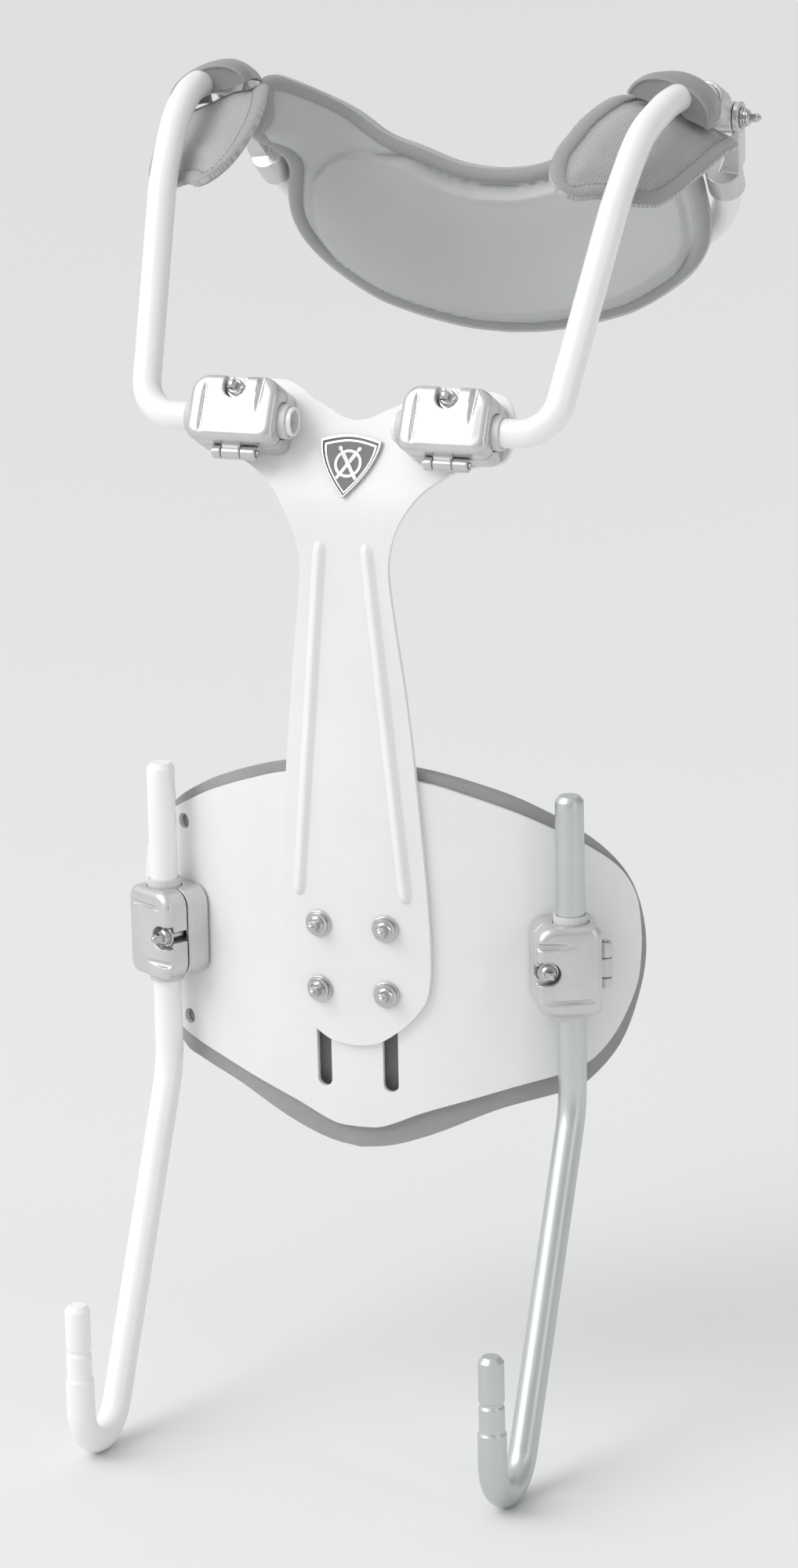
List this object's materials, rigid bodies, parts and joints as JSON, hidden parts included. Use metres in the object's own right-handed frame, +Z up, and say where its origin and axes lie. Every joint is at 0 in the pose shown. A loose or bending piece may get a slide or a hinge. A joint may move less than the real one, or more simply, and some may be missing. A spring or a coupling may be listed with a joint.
{
  "type": "marching drum carrier",
  "caption": "Marching drum carrier with a padded belly plate, Y-shaped spine, two hook rods, shoulder bars with pads and a hinged back pad.",
  "frame": {"origin": "midway between the two places where the shoulder pads' middles rest on the wearer's shoulders", "axes": "+Z up, -Y forward to the drum, +Y to the wearer's back, +X to the right as seen by someone facing the carrier's front"},
  "size_m": [0.3444, 0.4141, 0.7484],
  "materials": {
    "white_sheet": "satin",
    "grey_foam": "matt closed-cell foam",
    "emblem": "glossy with a bright rim",
    "grey_fabric": "matt woven mesh",
    "grey_plastic": "fine grain",
    "pale_bar": "satin",
    "pale_rod": "satin",
    "grey_rod": "satin silver",
    "nylon_sleeve": "smooth",
    "plated_steel": "bright plated",
    "polished_casting": "polished"
  },
  "bodies": {
    "spine": {"spine_plate": "white_sheet", "badge": "emblem", "left_upper_clamp_base": "polished_casting", "left_upper_clamp_pin": "plated_steel", "left_upper_clamp_sleeve": "nylon_sleeve", "left_upper_clamp_screw_a": "plated_steel", "left_upper_clamp_screw_b": "plated_steel", "left_slide_nut": "plated_steel", "right_upper_clamp_base": "polished_casting", "right_upper_clamp_pin": "plated_steel", "right_upper_clamp_sleeve": "nylon_sleeve", "right_upper_clamp_screw_a": "plated_steel", "right_upper_clamp_screw_b": "plated_steel", "right_slide_nut": "plated_steel"},
    "belly_support": {"belly_plate": "white_sheet", "belly_pad": "grey_foam", "left_belly_clamp_base": "polished_casting", "left_belly_clamp_pin": "plated_steel", "left_belly_clamp_screw_a": "plated_steel", "left_belly_clamp_screw_b": "plated_steel", "right_belly_clamp_base": "polished_casting", "right_belly_clamp_pin": "plated_steel", "right_belly_clamp_screw_a": "plated_steel", "right_belly_clamp_screw_b": "plated_steel"},
    "left_upper_jaw": {"left_upper_clamp_jaw": "polished_casting"},
    "left_upper_key_bolt": {"left_upper_clamp_bolt": "plated_steel"},
    "left_belly_jaw": {"left_belly_clamp_jaw": "polished_casting"},
    "left_belly_key_bolt": {"left_belly_clamp_bolt": "plated_steel"},
    "left_sleeve": {"left_belly_clamp_sleeve": "nylon_sleeve"},
    "left_rod": {"left_j_rod": "pale_rod"},
    "left_upper_spine_bolt": {"left_spine_bolt_upper": "plated_steel"},
    "left_lower_spine_bolt": {"left_spine_bolt_lower": "plated_steel"},
    "right_upper_jaw": {"right_upper_clamp_jaw": "polished_casting"},
    "right_upper_key_bolt": {"right_upper_clamp_bolt": "plated_steel"},
    "right_belly_jaw": {"right_belly_clamp_jaw": "polished_casting"},
    "right_belly_key_bolt": {"right_belly_clamp_bolt": "plated_steel"},
    "right_sleeve": {"right_belly_clamp_sleeve": "nylon_sleeve"},
    "right_rod": {"right_j_rod": "grey_rod"},
    "right_upper_spine_bolt": {"right_spine_bolt_upper": "plated_steel"},
    "right_lower_spine_bolt": {"right_spine_bolt_lower": "plated_steel"},
    "left_bar": {"left_shoulder_bar": "pale_bar", "left_shoulder_cap": "grey_plastic", "left_shoulder_pad": "grey_fabric", "left_rear_lug": "polished_casting"},
    "right_bar": {"right_shoulder_bar": "pale_bar", "right_shoulder_cap": "grey_plastic", "right_shoulder_pad": "grey_fabric", "right_rear_lug": "polished_casting"},
    "rear_frame": {"rear_bar": "pale_bar", "left_rear_fork": "polished_casting", "right_rear_fork": "polished_casting", "back_plate": "grey_plastic", "back_pad": "grey_fabric", "left_bar_clip": "polished_casting", "right_bar_clip": "polished_casting", "left_bar_clip_screw": "plated_steel", "right_bar_clip_screw": "plated_steel"},
    "left_rear_key_bolt": {"left_rear_bolt": "plated_steel"},
    "right_rear_key_bolt": {"right_rear_bolt": "plated_steel"}
  },
  "joints": [
    {"name": "belly_height", "type": "slide", "parent": "spine", "child": "belly_support", "axis": [0, 0, 1], "range_m": [-0.014, 0.05]},
    {"name": "left_upper_jaw_hinge", "type": "hinge", "parent": "spine", "child": "left_upper_jaw", "pos_m": [-0.0618, -0.15613, -0.16043], "axis": [1, 0, 0], "range_deg": [0, 100]},
    {"name": "left_upper_bolt_turn", "type": "hinge", "parent": "left_upper_jaw", "child": "left_upper_key_bolt", "pos_m": [-0.0618, -0.14096, -0.13067], "axis": [0, -0.891, 0.454], "continuous": true},
    {"name": "left_belly_jaw_hinge", "type": "hinge", "parent": "belly_support", "child": "left_belly_jaw", "pos_m": [-0.13867, -0.12588, -0.442], "axis": [0, 0, -1], "range_deg": [0, 100]},
    {"name": "left_belly_bolt_turn", "type": "hinge", "parent": "left_belly_jaw", "child": "left_belly_key_bolt", "pos_m": [-0.10937, -0.14192, -0.442], "axis": [-0.4802, -0.8771, 0], "continuous": true},
    {"name": "left_rod_turn", "type": "hinge", "parent": "belly_support", "child": "left_sleeve", "pos_m": [-0.122, -0.135, -0.442], "axis": [0, 0, 1], "range_deg": [-45, 45]},
    {"name": "left_rod_height", "type": "slide", "parent": "left_sleeve", "child": "left_rod", "axis": [0, 0, 1], "range_m": [-0.055, 0.033]},
    {"name": "left_upper_spine_bolt_turn", "type": "hinge", "parent": "spine", "child": "left_upper_spine_bolt", "pos_m": [-0.0199, -0.15367, -0.4248], "axis": [-0.0829, -0.9966, 0], "continuous": true},
    {"name": "left_lower_spine_bolt_turn", "type": "hinge", "parent": "spine", "child": "left_lower_spine_bolt", "pos_m": [-0.0199, -0.15367, -0.4628], "axis": [-0.0829, -0.9966, 0], "continuous": true},
    {"name": "right_upper_jaw_hinge", "type": "hinge", "parent": "spine", "child": "right_upper_jaw", "pos_m": [0.0618, -0.15613, -0.16043], "axis": [1, 0, 0], "range_deg": [0, 100]},
    {"name": "right_upper_bolt_turn", "type": "hinge", "parent": "right_upper_jaw", "child": "right_upper_key_bolt", "pos_m": [0.0618, -0.14096, -0.13067], "axis": [0, -0.891, 0.454], "continuous": true},
    {"name": "right_belly_jaw_hinge", "type": "hinge", "parent": "belly_support", "child": "right_belly_jaw", "pos_m": [0.13867, -0.12588, -0.442], "axis": [0, 0, 1], "range_deg": [0, 100]},
    {"name": "right_belly_bolt_turn", "type": "hinge", "parent": "right_belly_jaw", "child": "right_belly_key_bolt", "pos_m": [0.10937, -0.14192, -0.442], "axis": [0.4802, -0.8771, 0], "continuous": true},
    {"name": "right_rod_turn", "type": "hinge", "parent": "belly_support", "child": "right_sleeve", "pos_m": [0.122, -0.135, -0.442], "axis": [0, 0, 1], "range_deg": [-45, 45]},
    {"name": "right_rod_height", "type": "slide", "parent": "right_sleeve", "child": "right_rod", "axis": [0, 0, 1], "range_m": [-0.055, 0.033]},
    {"name": "right_upper_spine_bolt_turn", "type": "hinge", "parent": "spine", "child": "right_upper_spine_bolt", "pos_m": [0.0199, -0.15367, -0.4248], "axis": [0.0829, -0.9966, 0], "continuous": true},
    {"name": "right_lower_spine_bolt_turn", "type": "hinge", "parent": "spine", "child": "right_lower_spine_bolt", "pos_m": [0.0199, -0.15367, -0.4628], "axis": [0.0829, -0.9966, 0], "continuous": true},
    {"name": "left_bar_tilt", "type": "hinge", "parent": "spine", "child": "left_bar", "pos_m": [-0.0618, -0.1475, -0.1435], "axis": [1, 0, 0], "range_deg": [-25, 35]},
    {"name": "right_bar_tilt", "type": "hinge", "parent": "spine", "child": "right_bar", "pos_m": [0.0618, -0.1475, -0.1435], "axis": [1, 0, 0], "range_deg": [-25, 35]},
    {"name": "back_tilt", "type": "hinge", "parent": "left_bar", "child": "rear_frame", "pos_m": [-0.1435, 0.073, -0.001], "axis": [1, 0, 0], "range_deg": [-10, 40]},
    {"name": "left_rear_bolt_turn", "type": "hinge", "parent": "rear_frame", "child": "left_rear_key_bolt", "pos_m": [-0.154, 0.073, -0.001], "axis": [-1, 0, 0], "continuous": true},
    {"name": "right_rear_bolt_turn", "type": "hinge", "parent": "rear_frame", "child": "right_rear_key_bolt", "pos_m": [0.154, 0.073, -0.001], "axis": [1, 0, 0], "continuous": true}
  ],
  "couplings": [
    {"joint": "right_bar_tilt", "follows": "left_bar_tilt", "ratio": 1}
  ]
}
